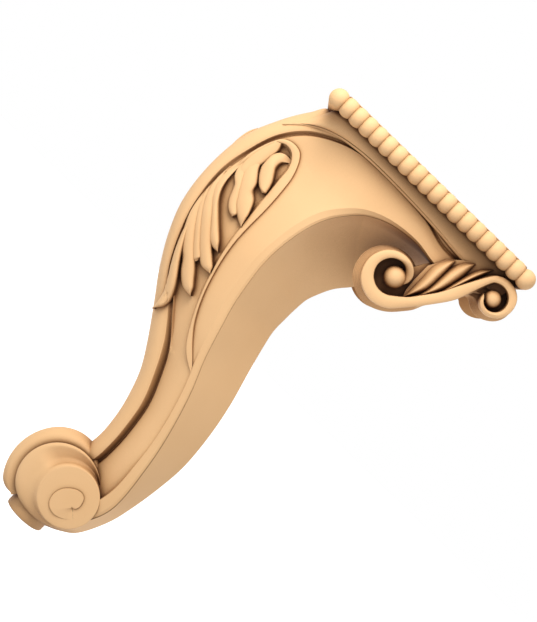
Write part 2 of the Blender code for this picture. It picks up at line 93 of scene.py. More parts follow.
# The groove beside the front band, and the corner where side and back meet: x, z, half width
GROOVE = (
    (0.0904, -0.0225, 0.0560), (0.0624, -0.0300, 0.0560), (0.0369, -0.0317, 0.0565),
    (0.0100, -0.0250, 0.0565), (-0.0296, -0.0219, 0.0565), (-0.0640, -0.0247, 0.0545),
    (-0.0925, -0.0370, 0.0450), (-0.1104, -0.0559, 0.0340), (-0.1197, -0.0797, 0.0270),
    (-0.1248, -0.1064, 0.0220), (-0.1215, -0.1379, 0.0195), (-0.1124, -0.1650, 0.0180),
    (-0.0994, -0.1890, 0.0175), (-0.0834, -0.2050, 0.0180), (-0.0650, -0.2285, 0.0190),
    (-0.0515, -0.2550, 0.0185), (-0.0439, -0.2750, 0.0180), (-0.0404, -0.2960, 0.0173),
    (-0.0392, -0.3141, 0.0165), (-0.0404, -0.3321, 0.0155), (-0.0463, -0.3472, 0.0140),
    (-0.0523, -0.3582, 0.0130), (-0.0520, -0.3682, 0.0130), (-0.0500, -0.3760, 0.0130),
)
CORNER = (
    (0.0924, -0.0305, 0.0560), (0.0604, -0.0485, 0.0560), (0.0386, -0.0468, 0.0565),
    (0.0190, -0.0441, 0.0565), (-0.0029, -0.0469, 0.0565), (-0.0207, -0.0548, 0.0562),
    (-0.0330, -0.0670, 0.0555), (-0.0416, -0.0800, 0.0550), (-0.0474, -0.0964, 0.0540),
    (-0.0508, -0.1160, 0.0520), (-0.0515, -0.1340, 0.0500), (-0.0497, -0.1510, 0.0475),
    (-0.0462, -0.1715, 0.0445), (-0.0408, -0.1914, 0.0420), (-0.0335, -0.2160, 0.0380),
    (-0.0237, -0.2408, 0.0340), (-0.0158, -0.2666, 0.0310), (-0.0100, -0.2909, 0.0285),
    (-0.0067, -0.3117, 0.0270), (-0.0042, -0.3337, 0.0262), (-0.0047, -0.3497, 0.0258),
    (-0.0097, -0.3637, 0.0255), (-0.0190, -0.3790, 0.0255), (-0.0330, -0.3885, 0.0250),
)
# A station is a row of these four tables, counted from 0 at the back of the cap
BODY_STEPS = 14
REFERENCE_STEPS = 6
BODY_SMOOTH_ANGLE = 11.0
BAND_COUNT, SIDE_COUNT, CHAMFER_COUNT, BACK_COUNT = 16, 46, 4, 16
GROOVE_DEPTH = 0.0026
GROOVE_WIDTH_LEG, GROOVE_WIDTH_TOP = 0.0046, 0.0043
# Share of the groove's width that lies in front of its line: on the leg, and more under the cap
GROOVE_LEAD_LEG, GROOVE_LEAD_MORE = 0.22, 0.20
# The station where the groove's section under the cap has given way to the leg's, and over how many
TOP_END, TOP_FADE = 6.0, 3.0
# The leg's side is a panel: a step down at its back edge and a cove that deepens to the groove
PANEL_DEPTH = 0.0015
PANEL_COVE, PANEL_COVE_POWER = 0.0026, 1.7
PANEL_START, PANEL_FADE = 13.2, 1.4
PANEL_STEP = 0.09
PANEL_DROP = 2.1
# Near the foot the panel's step is deeper
LOW_PANEL_DEPTH = 0.0028
LOW_PANEL_START, LOW_PANEL_FADE = 17.0, 2.5
# The back's hollow is deepest at one station and ends as many stations on. It leans to the corner,
# and the back's first point lies a small part of the way across.
HOLLOW_DEPTH = 0.012
HOLLOW_STATION = 5.0
HOLLOW_LEAN = 1.2
BACK_FIRST_PART = 0.012
# The side's own roundness, and the crease where it meets the back
BULGE = 0.0012
CREASE = 0.0009
# The groove's own section on the leg and under the cap: part of its width, part of its depth
GROOVE_LEG = ((0.0, 0.0), (0.07, 0.20), (0.15, 0.45), (0.25, 0.72), (0.36, 0.92), (0.48, 1.0),
              (0.60, 0.86), (0.73, 0.54), (0.87, 0.22), (1.0, 0.0))
GROOVE_TOP = ((0.0, 0.0), (0.08, 0.14), (0.17, 0.36), (0.27, 0.62), (0.36, 0.80), (0.43, 0.84),
              (0.55, 0.66), (0.70, 0.34), (0.86, 0.10), (1.0, 0.0))
GROOVE_STEPS = 3
GROOVE_POINTS = (len(GROOVE_LEG) - 1) * GROOVE_STEPS + 1
# How far the chamfer strip's inner edge stands out, by station
CHAMFER_RISE = ((0, 0.0024), (12, 0.0022), (14, 0.0016), (17, 0.0020), (19, 0.0036), (20.5, 0.0056),
                (22, 0.0046), (23, 0.0030))
# How far from groove to corner the chamfer strip starts, by station
CHAMFER_START = ((0, 0.90), (9, 0.925), (13, 0.885), (15, 0.845), (18, 0.78), (23, 0.74))
# The leaf's ground, sunk inside the loop: it deepens with height, its edge is soft, rows of GROOVE
# close its outline, and the way down leans along X and Z
RECESS_DEPTH, RECESS_MORE = 0.0018, 0.0010
RECESS_LOW_Z, RECESS_FADE_Z = -0.110, 0.035
RECESS_EDGE = 0.0022
RECESS_START, RECESS_END = 5.8, 15.0
RECESS_GROOVE = slice(9, 15)
RECESS_OUT_X, RECESS_OUT_Z = 0.8, 0.3

# Flare: the cove under the beads. Its top edge, x, y of the +Y half from back to front, and its
# lip: a place (x, y, z), or a pixel with the height over the body's side or the depth Y.
COVE_TOP_Z = -0.0150
COVE_TOP = (
    (0.0930, 0.0600), (0.0600, 0.0605), (0.0400, 0.0605), (0.0150, 0.0605), (-0.0120, 0.0605),
    (-0.0360, 0.0605), (-0.0570, 0.0605), (-0.0740, 0.0605), (-0.0850, 0.0585), (-0.0915, 0.0520),
    (-0.0940, 0.0420), (-0.0950, 0.0290), (-0.0955, 0.0140), (-0.0955, 0.0000),
)
LIP_BACK = (0.0900, 0.0600, -0.0300)
LIP_AT_DEPTH_PX = ((463.8, 259.4, -0.0592), (440, 231, -0.0589), (415, 203.5, -0.0586),
                   (390, 177.5, -0.0583), (366, 154.5, -0.0580))
LIP_ON_SIDE_PX = ((343, 136.8, 0.0009), (325.7, 128.4, 0.0009), (312, 124.9, 0.0009),
                  (300, 123.6, 0.0008), (290, 123.6, 0.0006), (282.9, 123.8, 0.0002))
LIP_FRONT = ((-0.1195, 0.0120, -0.0492), (-0.1216, 0.0000, -0.0497))
# How much of a hollow curve the cove has, column by column: none at the front
COVE_HOLLOW = (1.0, 1.0, 1.0, 1.0, 1.0, 1.0, 1.0, 0.9, 0.7, 0.45, 0.25, 0.1, 0.0, 0.0)
COVE_STEPS = 8
COVE_ROWS = 12
# The lip's section under the cove's edge: drop and inset, and the share of the drop at the front
LIP_SECTION = ((0.0008, -0.0002), (0.0016, 0.0002), (0.0021, 0.0012), (0.0021, 0.0055))
LIP_LEAST = 0.45
# In front of this X the lip is inset along X too, by a share
LIP_AIM_X, LIP_AIM_SHARE = -0.05, 0.9
# The cove's top ring is drawn in under the plate
FLARE_TOP_SCALE, FLARE_TOP_Z = 0.96, -0.0090

# Scroll foot: circles narrowing to the side disc, x, z, radius, half width
FOOT_RINGS = (
    (-0.0480, -0.3657, 0.0292, 0.0000), (-0.0480, -0.3657, 0.0292, 0.0140),
    (-0.0480, -0.3657, 0.0297, 0.0150), (-0.0479, -0.3657, 0.0309, 0.0157),
    (-0.0476, -0.3656, 0.0322, 0.0167), (-0.0471, -0.3655, 0.0328, 0.0181),
    (-0.0463, -0.3654, 0.0325, 0.0195), (-0.0450, -0.3653, 0.0313, 0.0207),
    (-0.0433, -0.3652, 0.0296, 0.0215), (-0.0413, -0.3651, 0.0278, 0.0221),
    (-0.0393, -0.3649, 0.0263, 0.0228), (-0.0374, -0.3647, 0.0252, 0.0241),
    (-0.0358, -0.3645, 0.0246, 0.0260), (-0.0348, -0.3644, 0.0243, 0.0273),
    (-0.0345, -0.3644, 0.0238, 0.0280), (-0.0344, -0.3644, 0.0228, 0.0282),
)
FOOT_SIDES = 128
# How much the bell is flattened toward the pad, up to which half width, and where that fades
FOOT_FLATTENING = 0.085
FLAT_END, FLAT_FADE = 0.0250, 0.004
# Where the disc's rim stands over the bell: middle and half width in degrees, its fade, and how far
RIM_TURN, RIM_SPREAD, RIM_FADE, RIM_STEP = 92.0, 80.0, 30.0, 0.0036
# The half widths of the bell: where it starts, over how much, and where it ends
BELL_START, BELL_FADE, BELL_END = 0.0200, 0.003, 0.0255
# The band goes on over the foot: angle in degrees, radius from the foot's middle
FOOT_BAND = ((60, 0.0350), (80, 0.0400), (106, 0.0442), (130, 0.0456), (156, 0.0452), (182, 0.0446),
             (209, 0.0437), (218, 0.0426), (226, 0.0392), (233, 0.0330))
BAND_HALF_WIDTH = 0.0138
BAND_INNER_RADIUS, BAND_ROOT_RADIUS = 0.0347, 0.028
BAND_STEPS, BAND_ROUNDNESS = 24, 0.75
BAND_MIDDLE = (-0.0468, -0.3685)
# The disc's spiral step, in pixels: inside it the face stands higher
SPIRAL_PX = ((72.9, 509.7), (78, 508), (81.3, 504.8), (84, 498), (80.5, 491.7), (71.3, 488.3),
             (59.8, 489.4), (51.4, 496.3), (49, 505.5), (53.7, 514), (62.9, 518.6), (72.9, 519.5))
SPIRAL_MIDDLE_PX = (72.2, 507.6)
SPIRAL_RISE = 0.0012
# Its section: part of the way to the middle, part of the rise. It fades at both ends, in points.
SPIRAL_SECTION = ((0.0, -0.001), (0.0, 0.6), (0.03, 1.0), (0.5, 1.0), (0.95, 1.0))
SPIRAL_FADE_IN, SPIRAL_FADE_OUT = 4.0, 16.0
DISC_FACE_Y = -0.0282
PAD_X, PAD_RADIUS, PAD_SIDES = -0.0500, 0.0172, 64
PAD_TOP_Z, PAD_BOTTOM_Z = -0.3860, -0.4042
# Inset and height
PAD_SECTION = ((0.0, PAD_TOP_Z), (0.0, PAD_BOTTOM_Z + 0.0016), (0.0005, PAD_BOTTOM_Z + 0.0005),
               (0.0016, PAD_BOTTOM_Z))

# Wings: two volutes joined by a strap. Edges are radii from a volute's middle by angle in degrees.
WING_FACE_Y, WING_FLOOR_Y, WING_INNER_Y = 0.0700, 0.0600, 0.0420
VOLUTE_STEP = 8
BIG_EYE, BIG_BALL_RADIUS = (0.0254, -0.0731), 0.0085
BIG_OUTER = ((313, 0.0232), (270, 0.0250), (222, 0.0256), (185, 0.0238), (147, 0.0209),
             (110, 0.0177), (72, 0.0154), (46, 0.0139), (26, 0.0117), (6, 0.0094), (-14, 0.0074))
BIG_INNER = ((305, 0.0138), (270, 0.0148), (222, 0.0158), (185, 0.0158), (152, 0.0146),
             (128, 0.0134), (102, 0.0119), (84, 0.0103), (74, 0.0088), (62, 0.0072))
SMALL_EYE, SMALL_BALL_RADIUS = (0.0884, -0.0349), 0.0066
SMALL_OUTER = ((140, 0.0178), (90, 0.0184), (44, 0.0180), (0, 0.0160), (-46, 0.0139),
               (-90, 0.0118), (-136, 0.0099), (-170, 0.0080))
SMALL_INNER = ((139, 0.0125), (90, 0.0120), (44, 0.0112), (0, 0.0105), (-46, 0.0095),
               (-91, 0.0083), (-115, 0.0078))
# Balls in the eyes: place, radius, sides, rows. Each stands proud of the face, on a stem.
BALLS = ((BIG_EYE, BIG_BALL_RADIUS, 40, 24), (SMALL_EYE, SMALL_BALL_RADIUS, 36, 20))
BALL_PROUD = 0.0004
STEM_SHARE, STEM_STEP, STEM_ROOT = 0.8, 15, 0.001
# The strap: its points on the big volute, the run and the small one, its bevel and root, and its
# share of the height at the hook, which grows over its first points
STRAP_POINTS = (70, 26, 50)
STRAP_BEVEL, STRAP_ROOT = 0.0016, 0.002
STRAP_LEAST, STRAP_FADE = 0.62, 16
RUN_UPPER = ((0.0402, -0.0803), (0.0480, -0.0700), (0.0566, -0.0582), (0.0650, -0.0420))
RUN_LOWER = ((0.0510, -0.0785), (0.0596, -0.0676), (0.0686, -0.0548), (0.0729, -0.0434),
             (0.0756, -0.0357))
WING_TOP_EDGE = ((0.0740, -0.0180), (0.0640, -0.0215), (0.0530, -0.0290), (0.0440, -0.0370),
                 (0.0350, -0.0500))
WALL_FACE_Y = 0.0545
# The bed that the ribs lie on
BED_EDGE = (RUN_UPPER + ((0.0720, -0.0300),) + WING_TOP_EDGE[:4]
            + ((0.0372, -0.0500), (0.0372, -0.0640), (0.0380, -0.0740)))
BED_Y = 0.0602
# The wall widens in layers: by how much, the way it faces where it is widest, and its share along
# the run and round an eye, out to a reach from the eye
WALL_POINTS, WALL_LAYERS = 120, 6
WALL_FLARE = 0.0064
WALL_WIDEST = Vector((-0.90, -0.44))
WALL_RUN_SHARE, WALL_EYE_SHARE = 0.10, 0.45
BIG_WALL_REACH, SMALL_WALL_REACH, WALL_REACH_FADE = 0.0255, 0.0145, 0.005
# At which part of a layer its growth is taken, and at which part its straight stretch ends
LAYER_GROWTH, LAYER_STRAIGHT = 0.3, 0.8

# Loop that frames the knee's leaf, in pixels of the photograph: outer edge and inner edge
LOOP_OUTER_PX = (
    (228, 173), (238, 163), (250, 153), (262, 146), (272, 141.5), (282.7, 139), (291.8, 142),
    (297.9, 148), (300, 154.3), (298.5, 163.4), (293.6, 175), (285.7, 186.5), (267.5, 207.7),
    (240, 236), (222, 260), (206, 289), (196, 316), (192, 340), (191, 367),
)
LOOP_INNER_PX = (
    (229, 175), (240, 165), (252, 155.5), (264, 148.5), (272, 144.5), (278.4, 142.8), (285.5, 144.5),
    (290.2, 149.2), (291.8, 154.5), (291.3, 161.5), (287.5, 170), (279, 180), (259, 204.8),
    (232, 239), (214.5, 267), (199, 300), (189, 332), (186, 355), (190, 378),
)
# The loop's ribbon: its lift over the side, its height at the ends and how much more it has between
# them, its bevel, and the points over which it rises
LOOP_LIFT, LOOP_LOW, LOOP_RISE, LOOP_BEVEL = 0.0012, -0.0006, 0.0022, 0.0007
LOOP_FADE_IN, LOOP_FADE_OUT = 12, 10
ROOT_DEPTH = 0.006
# A lobe's section: rounded parts on the left and on the right, each with its least height
LOBE_COLUMNS = 16
LOBE_LEFT_PART, LOBE_LEFT_LEAST = 0.50, 0.40
LOBE_RIGHT_PART, LOBE_RIGHT_LEAST = 0.58, 0.06
# Along a lobe, as parts of its length: how it rises from its sunk root, how the sheet falls away,
# and how the tip is lowered. The flank beyond the crest opens and closes.
LOBE_RISE_PART = 0.50
LOBE_SINK, LOBE_SINK_PART = 0.0016, 0.15
SHEET_FALL, SHEET_FULL = 0.6, 0.5
LOBE_TIP_PART, LOBE_TIP_LEAST = 0.10, 0.55
LOBE_FLANK_PX, FLANK_OPEN_PART, FLANK_CLOSE_PART = 3.4, 0.3, 0.08
# Leaf lobes from root to tip: left edge, and the crest on the right, in pixels
LOBES_PX = (
    ("sheet", 0.0021, (
        (275, 141), (263, 146.5), (252, 153.5), (246, 159.5), (242.5, 164), (240, 168),
        (238.5, 171.5), (237.5, 174.5), (237, 177), (237.5, 179.5)), (
        (282, 143.5), (277, 150.5), (269, 157), (260, 163), (253, 167), (248.5, 170.5),
        (244.5, 173.5), (242, 176), (240, 178), (237.5, 179.5))),
    ("curl", 0.0044, (
        (291, 160), (285.7, 154.8), (279.6, 152.8), (272.4, 154.8), (266.5, 160), (262, 166),
        (259.6, 172), (258.6, 179), (259, 186), (262, 193.3)), (
        (290.5, 163.5), (284, 161), (279.5, 161.5), (275.3, 164.5), (273, 169.5), (271.5, 175.5),
        (270, 181), (267.5, 186), (264.5, 190.5), (262, 193.3))),
    ("wide", 0.0040, (
        (262, 151.5), (253.5, 157.5), (247, 165.5), (243, 174), (240, 183), (237.4, 193),
        (235.8, 203), (236, 211), (238, 219.5), (241, 227.5)), (
        (277, 147), (268, 153.5), (260.5, 161), (256.5, 169), (255.6, 177.5), (254.6, 185),
        (250.8, 193), (251.3, 202), (248.5, 212), (241, 227.5))),
    ("small", 0.0034, (
        (252, 154), (243.5, 161), (237.5, 168.5), (234.5, 176), (234.5, 184), (231.5, 192),
        (228.6, 200), (228, 207), (229.5, 212.5), (232, 217)), (
        (262, 151.5), (253, 158), (247, 166.4), (242.8, 176), (240, 184.6), (237.6, 193.8),
        (235.6, 203), (235.3, 208), (234.8, 213), (232, 217))),
    ("long", 0.0044, (
        (240, 160), (227, 171), (218, 181), (213.5, 191), (211.5, 202), (211, 214),
        (210, 226), (209.3, 238), (212, 246.5), (218, 252.3)), (
        (253, 155), (243, 163), (233.5, 172), (225, 182), (220, 192), (217.8, 203),
        (217.3, 215), (217.3, 227), (217.6, 239), (218, 252.3))),
    ("longer", 0.0042, (
        (230, 166), (219, 176), (211, 186), (205.3, 198), (202, 210), (199.7, 225),
        (198.8, 240), (199.2, 254), (201.5, 266), (210.5, 274)), (
        (240, 163), (227, 174), (218, 185), (213.5, 198), (211.5, 211), (210.3, 226),
        (209.3, 240), (209, 252), (209.8, 264), (210.5, 274))),
    ("step", 0.0036, (
        (214, 181), (206, 190), (200, 202), (196.5, 214), (194.3, 226), (193, 237),
        (192.2, 246), (192, 253), (192.3, 258), (193.5, 262)), (
        (219, 181), (211, 190), (205, 200), (201.8, 212), (200, 224), (199.3, 235),
        (199, 244), (199.3, 251), (199.6, 256), (199.5, 259.5))),
    ("folded", 0.0040, (
        (207, 188), (199, 198), (191, 210), (186, 222), (182.5, 235), (181.5, 248),
        (182.5, 258), (180.8, 272), (183, 287), (190.5, 296)), (
        (215, 183), (207, 193), (199, 206), (195, 220), (193, 235), (192.2, 248),
        (192, 258), (192, 270), (190.8, 284), (190.5, 296))),
    ("channel", 0.0050, (
        (208.5, 192), (198.5, 205), (189.5, 218), (181.5, 233), (175.5, 248), (171, 263),
        (167.5, 278), (163, 292), (158, 300.5), (151.5, 308.5)), (
        (211, 189), (202, 202), (193, 215), (186, 230), (180.5, 247), (177.2, 262),
        (174.8, 277), (171.5, 291), (165, 303), (151.5, 308.5))),
)
# Ribs of a wing, from root to tip: upper edge and lower edge, in pixels
RIBS_PX = (
    (((402.6, 297.3), (411, 289.5), (421.8, 279), (434.6, 266.5), (447.4, 260.8), (455.7, 260.8)),
     ((402.6, 297.3), (416, 293.5), (427.5, 288), (440, 276.5), (451, 265.5), (455.7, 260.8))),
    (((411.6, 297.3), (424, 291), (434.6, 282), (449, 269.5), (464, 263.4), (476, 264)),
     ((411.6, 297.3), (426, 295), (440.5, 290.5), (459, 278), (470, 268.5), (476, 264))),
    (((427, 296), (440, 291), (457, 281), (472, 273), (483, 269.6), (494, 270)),
     ((427, 296), (442, 293.8), (457, 287.5), (472, 280), (484, 274.5), (494, 270))),
    (((430, 297.5), (446, 292.5), (461, 285.5), (476, 279), (490, 275), (505, 276)),
     ((430, 299.5), (450, 298.5), (468, 293), (484, 286), (496, 281.5), (505, 280))),
)
# A rib's crest: height, roundness, its lean to the lower edge, and how far it goes over both edges
RIB_COLUMNS = 10
RIB_LEAST, RIB_RISE, RIB_ROOT = 0.0004, 0.0078, 0.008
RIB_ROUND_ALONG, RIB_ROUND_ACROSS, RIB_LEAN = 0.6, 0.75, 1.15
RIB_START, RIB_WIDTH = -0.10, 1.30

# Thin raised sliver along the front band's crown, in pixels
SLIVER_PX = ((226.5, 153), (233, 146.5), (241.5, 139.3), (250, 132.8), (258, 128.2))
SLIVER_Y, SLIVER_WIDTH, SLIVER_HEIGHT = 0.0, 0.0026, 0.0022
SLIVER_LEAST, SLIVER_TAPER, SLIVER_TURN = 0.12, 0.7, 30
# Depth at which a ray that misses the body passes its front edge
BAND_EDGE_Y = -0.012
# A ray toward the near side starts well outside it
RAY_START_Y = -0.3
LINE_STEPS = 6
MERGE_DISTANCE = 2e-6
SMOOTH_ANGLE = 32.0

# Material, floor and light
TAN_TONES = ((0.3, (0.86, 0.522, 0.252)), (0.7, (0.90, 0.560, 0.280)))
FLOOR_Z, FLOOR_HALF = -0.43, 4.0
LIGHT_AIM = Vector((-0.005, 0.0, -0.10))
LIGHT_WAY = CAMERA_UP * 1.00 + CAMERA_RIGHT * 0.26 + Vector((0.0, -0.80, 0.0))
KEY_DISTANCE, KEY_SIZE, KEY_WATTS = 0.80, 0.40, 6.1
AMBIENT_BEHIND, AMBIENT_TOWARD = 0.78, 0.56
# Painted shade that darkens hollows and places near other parts: how far they look, then (openness,
# tint) from closed to open
PAINTED_SHADE_TONES = (
    (0.005, ((0.20, (0.34, 0.24, 0.17)), (0.50, (0.66, 0.57, 0.49)), (0.85, (0.97, 0.96, 0.95)),
             (1.0, (1.0, 1.0, 1.0)))),
    (0.050, ((0.12, (0.11, 0.07, 0.045)), (0.42, (0.27, 0.195, 0.135)), (0.74, (0.70, 0.635, 0.565)),
             (0.97, (1.0, 1.0, 1.0)))),
)


def smooth_path(points, steps):
    """Catmull-Rom curve through points of any size, with steps spans between neighbours."""
    points = [Vector(p) for p in points]
    padded = [points[0] * 2 - points[1]] + points + [points[-1] * 2 - points[-2]]
    path = []
    for a, b, c, d in zip(padded, padded[1:], padded[2:], padded[3:]):
        for step in range(steps):
            t = step / steps
            path.append(0.5 * (2 * b + (c - a) * t + (2 * a - 5 * b + 4 * c - d) * t ** 2
                               + (3 * b - a - 3 * c + d) * t ** 3))
    return path + [points[-1]]


def table_at(table, key):
    """Value at a key, read from rows of (key, value) that may run either way."""
    rows = sorted(table)
    if key <= rows[0][0]:
        return rows[0][1]
    for (k0, v0), (k1, v1) in zip(rows, rows[1:]):
        if key <= k1:
            return v0 + (v1 - v0) * (key - k0) / (k1 - k0)
    return rows[-1][1]


def smooth_step(value):
    """0 below 0, 1 above 1, and a smooth rise between."""
    value = min(1, max(0, value))
    return value * value * (3 - 2 * value)


def photo_ray(px, py):
    """Direction of the camera's ray through a pixel of the photograph."""
    ray = (Vector((0, FOCAL_PX, 0)) + CAMERA_RIGHT * (px - AXIS_PX[0])
           - CAMERA_UP * (py - AXIS_PX[1]))
    return ray.normalized()


def photo_point(px, py, y):
    """The point seen at a pixel where its ray has the given Y."""
    ray = photo_ray(px, py)
    return CAMERA_PLACE + ray * ((y - CAMERA_PLACE.y) / ray.y)


def new_object(name, data):
    """An object in the scene."""
    made = bpy.data.objects.new(name, data)
    bpy.context.scene.collection.objects.link(made)
    return made


def mirrored(points):
    """The same points across Y = 0."""
    return [Vector((p.x, -p.y, p.z)) for p in points]


def add_piece(name, points, faces, smooth_angle=SMOOTH_ANGLE):
    """A closed mesh piece with outward faces, smooth but for its sharp edges, in the one material."""
    bm = bmesh.new()
    verts = [bm.verts.new(point) for point in points]
    for face in faces:
        bm.faces.new([verts[i] for i in face])
    bmesh.ops.remove_doubles(bm, verts=bm.verts, dist=MERGE_DISTANCE)
    bmesh.ops.dissolve_degenerate(bm, edges=bm.edges, dist=MERGE_DISTANCE / 2)
    bmesh.ops.recalc_face_normals(bm, faces=bm.faces)
    mesh = bpy.data.meshes.new(name)
    bm.to_mesh(mesh)
    bm.free()
    for polygon in mesh.polygons:
        polygon.use_smooth = True
    mesh.set_sharp_from_angle(angle=math.radians(smooth_angle))
    mesh.materials.append(TAN)
    piece = new_object(name, mesh)
    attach(piece, "root")
    return piece


def add_pair(name, points, faces, smooth_angle=SMOOTH_ANGLE):
    """A piece on the near side and its mirror image on the far side."""
    add_piece(name + "_near", points, faces, smooth_angle)
    add_piece(name + "_far", mirrored(points), [face[::-1] for face in faces], smooth_angle)


def rings_to_mesh(rings):
    """Points and faces of a skin, capped at its ends, through rings with the same number of points."""
    count = len(rings[0])
    points = [point for ring in rings for point in ring]
    faces = []
    for row in range(len(rings) - 1):
        low, high = row * count, (row + 1) * count
        for i in range(count):
            j = (i + 1) % count
            faces.append((low + i, low + j, high + j, high + i))
    faces.append(tuple(range(count))[::-1])
    faces.append(tuple(range((len(rings) - 1) * count, len(rings) * count)))
    return points, faces


def join_meshes(parts):
    """Several (points, faces) as one."""
    points, faces = [], []
    for part_points, part_faces in parts:
        start = len(points)
        points += [Vector(p) for p in part_points]
        faces += [tuple(i + start for i in face) for face in part_faces]
    return points, faces


# Body

def section_half(front, groove, corner, back, station, carved):
    """Half a section of the body from the front band to the ridge behind, on the +Y side."""
    f = Vector((front[0], 0, front[1]))
    g = Vector((groove[0], groove[2], groove[1]))
    a = Vector((corner[0], corner[2], corner[1]))
    b = Vector((back[0], 0, back[1]))
    inward = (b - f).normalized()
    side = a - g
    along = side.normalized()
    out = (Vector((0, 1, 0)) * side.dot(inward) - inward * side.y).normalized()
    chamfer = table_at(CHAMFER_START, station)
    chamfer_rise = table_at(CHAMFER_RISE, station)
    sunken = smooth_step((station - PANEL_START) / PANEL_FADE) * carved
    panel = (PANEL_DEPTH + PANEL_COVE) * sunken
    hollow = HOLLOW_DEPTH * max(0, 1 - abs(station - HOLLOW_STATION) / HOLLOW_STATION)
    top = smooth_step((TOP_END - station) / TOP_FADE)
    wide = GROOVE_WIDTH_LEG + (GROOVE_WIDTH_TOP - GROOVE_WIDTH_LEG) * top
    g = g - along * wide * (GROOVE_LEAD_LEG + GROOVE_LEAD_MORE * top)
    side = a - g

    groove_leg = smooth_path(GROOVE_LEG, GROOVE_STEPS)
    groove_top = smooth_path(GROOVE_TOP, GROOVE_STEPS)
    points = []
    for step in range(BAND_COUNT):
        turn = 0.5 * math.pi * step / BAND_COUNT
        reach = 1 - math.cos(turn)
        points.append(Vector((f.x + (g.x - f.x) * reach, g.y * math.sin(turn),
                              f.z + (g.z - f.z) * reach)))
    for (part_leg, dip_leg), (part_top, dip_top) in zip(groove_leg, groove_top):
        part = part_leg + (part_top - part_leg) * top
        dip = GROOVE_DEPTH * carved * (dip_leg + (dip_top - dip_leg) * top)
        points.append(g + along * (wide * part) - out * (dip + panel * smooth_step(part * PANEL_DROP)))
    start = wide / side.length
    for step in range(1, SIDE_COUNT + 1):
        part = step / SIDE_COUNT
        t = start + (chamfer - start) * part
        rise = chamfer_rise * part ** 2 + BULGE * math.sin(math.pi * part)
        edge = smooth_step((1 - part) / PANEL_STEP)
        low = LOW_PANEL_DEPTH * part ** 2 * smooth_step((station - LOW_PANEL_START) / LOW_PANEL_FADE)
        sunk = sunken * (edge * (PANEL_DEPTH + low) + PANEL_COVE * (1 - part) ** PANEL_COVE_POWER)
        points.append(g + side * t + out * (rise - sunk))
    for step in range(1, CHAMFER_COUNT + 1):
        part = step / CHAMFER_COUNT
        t = chamfer + (1 - chamfer) * part
        crease = CREASE * carved if step == CHAMFER_COUNT else 0.0
        points.append(g + side * t + out * (chamfer_rise * (1 - part) - crease))
    toward_front = (f - b).normalized()
    for step in range(BACK_COUNT + 1):
        part = max(BACK_FIRST_PART, step / BACK_COUNT)
        points.append(a.lerp(b, part) + toward_front * hollow * 4 * part * (1 - part) ** HOLLOW_LEAN)
    return points


def body_rings(steps, carved, shape=None):
    """Closed sections of the body; shape may move the points of the +Y half by their station."""
    outlines = [smooth_path(line, steps) for line in (FRONT, GROOVE, CORNER, BACK)]
    rings = []
    for step, (front, groove, corner, back) in enumerate(zip(*outlines)):
        half = section_half(front, groove, corner, back, step / steps, carved)
        if shape:
            half = shape(half, step / steps)
        rings.append(half + mirrored(half[1:-1])[::-1])
    return rings


def reference_tree():
    """The body's side with no carving in it, to lay the leaf on."""
    points, faces = rings_to_mesh(body_rings(REFERENCE_STEPS, 0.0))
    return BVHTree.FromPolygons(points, faces)


def on_side(tree, px, py, lift):
    """Where the ray of a pixel passes at a height over the body's near side, and the way out of it."""
    ray = photo_ray(px, py)
    base, out, _, _ = tree.ray_cast(CAMERA_PLACE, ray)
    if base is None:
        base, out, _, _ = tree.find_nearest(photo_point(px, py, BAND_EDGE_Y))
        return base, out
    for _ in range(3):
        lifted = base + out * lift
        wanted = CAMERA_PLACE + ray * ((lifted.y - CAMERA_PLACE.y) / ray.y)
        start = Vector((base.x + wanted.x - lifted.x, RAY_START_Y, base.z + wanted.z - lifted.z))
        hit, way, _, _ = tree.ray_cast(start, Vector((0, 1, 0)))
        if hit is None:
            break
        base, out = hit, way
    return base, out


def nearest_on_line(point, line):
    """Distance from a flat point to a chain of points."""
    best = 1.0
    for a, b in zip(line, line[1:]):
        span = b - a
        t = min(1, max(0, (point - a).dot(span) / span.length_squared))
        best = min(best, (a + span * t - point).length)
    return best


def is_inside(point, outline):
    """Whether a flat point lies inside a closed outline."""
    inside = False
    for a, b in zip(outline, outline[1:] + outline[:1]):
        if (a.y > point.y) != (b.y > point.y):
            if point.x < (b.x - a.x) * (point.y - a.y) / (b.y - a.y) + a.x:
                inside = not inside
    return inside


def loop_recess(tree):
    """A function that sinks the side's points inside the loop, deepest at the loop's upper end."""
    line = []
    for px, py in LOOP_INNER_PX:
        base, _ = on_side(tree, px, py, 0.0)
        line.append(Vector((base.x, base.z)))
    edge = smooth_path(line, 4)
    groove = [Vector((x, z)) for x, z, _ in GROOVE[RECESS_GROOVE]]
    outline = edge + groove[::-1]
    first = BAND_COUNT + GROOVE_POINTS
    last = first + SIDE_COUNT

    def shape(half, station):
        if not RECESS_START < station < RECESS_END:
            return half
        shaped = list(half)
        for i in range(first, last):
            flat = Vector((half[i].x, half[i].z))
            if not is_inside(flat, outline):
                continue
            gap = nearest_on_line(flat, edge)
            deep = RECESS_DEPTH + RECESS_MORE * smooth_step((flat.y - RECESS_LOW_Z) / RECESS_FADE_Z)
            deep *= 1 - smooth_step((station - PANEL_START) / PANEL_FADE)
            across = (half[i + 1] - half[i - 1]).normalized()
            out = Vector((-across.y * RECESS_OUT_X, across.x, -across.y * RECESS_OUT_Z)).normalized()
            shaped[i] = half[i] - out * deep * smooth_step(gap / RECESS_EDGE)
        return shaped
    return shape


def build_body(tree):
    """The carved body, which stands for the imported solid."""
    points, faces = rings_to_mesh(body_rings(BODY_STEPS, 1.0, loop_recess(tree)))
    body = add_piece("corbel_body", points, faces, BODY_SMOOTH_ANGLE)
    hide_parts("scroll_corbel")


# Flare, cap and beads

